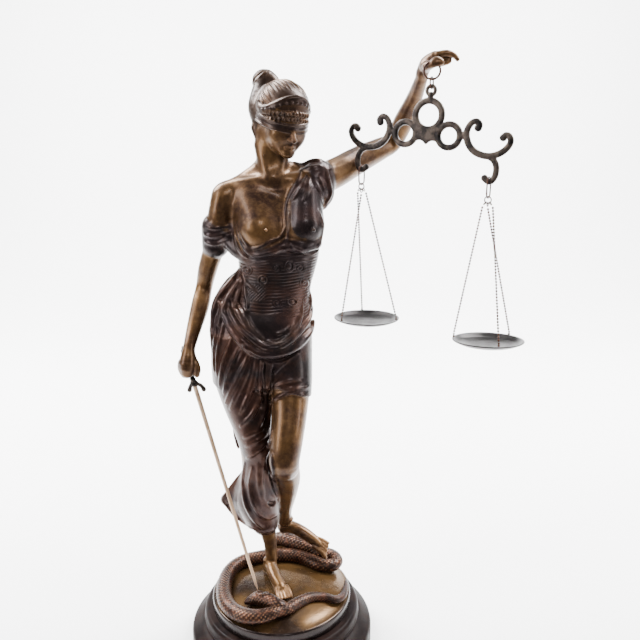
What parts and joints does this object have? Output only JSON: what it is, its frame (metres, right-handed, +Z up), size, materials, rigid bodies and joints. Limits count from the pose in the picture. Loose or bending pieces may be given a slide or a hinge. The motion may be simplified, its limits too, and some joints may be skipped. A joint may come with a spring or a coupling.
{
  "type": "lady justice statue",
  "caption": "Bronze lady justice statue: blindfolded robed figure with lowered sword and raised scales, one foot on a snake, on a round stepped wooden plinth.",
  "frame": {"origin": "centre of the plinth's flat underside, on the floor", "axes": "+Z up through the plinth's axis, -Y to the front of the figure, +X towards the hand that holds the scales"},
  "size_m": [0.5129, 0.304, 0.9483],
  "materials": {
    "plinth_wood": "dark brown-black satin lacquer with lighter worn edges",
    "figure_bronze": "patinated bronze, golden-brown skin and ground, plum-brown cloth",
    "sword_bronze": "polished blade, dark red-brown guard",
    "beam_bronze": "dark patina with worn edges",
    "pan_bronze": "dark grey patina, glossier inside",
    "ring_copper": "copper-coloured, darkened",
    "chain_brass": "darkened ball chain"
  },
  "bodies": {
    "root": {"plinth": "plinth_wood", "figure": "figure_bronze", "sword": "sword_bronze", "beam": "beam_bronze", "pan_left": "pan_bronze", "pan_right": "pan_bronze", "pan_clip_left_1": "ring_copper", "pan_clip_left_2": "ring_copper", "pan_clip_left_3": "ring_copper", "pan_clip_right_1": "ring_copper", "pan_clip_right_2": "ring_copper", "pan_clip_right_3": "ring_copper", "hand_ring": "ring_copper", "beam_link": "ring_copper", "hook_ring_left": "ring_copper", "hook_ring_right": "ring_copper", "chain_ring_left": "ring_copper", "chain_ring_right": "ring_copper", "chain_loop_left_1": "ring_copper", "chain_loop_left_2": "ring_copper", "chain_loop_left_3": "ring_copper", "chain_loop_right_1": "ring_copper", "chain_loop_right_2": "ring_copper", "chain_loop_right_3": "ring_copper", "chain_left_1": "chain_brass", "chain_left_2": "chain_brass", "chain_left_3": "chain_brass", "chain_right_1": "chain_brass", "chain_right_2": "chain_brass", "chain_right_3": "chain_brass"}
  },
  "joints": []
}
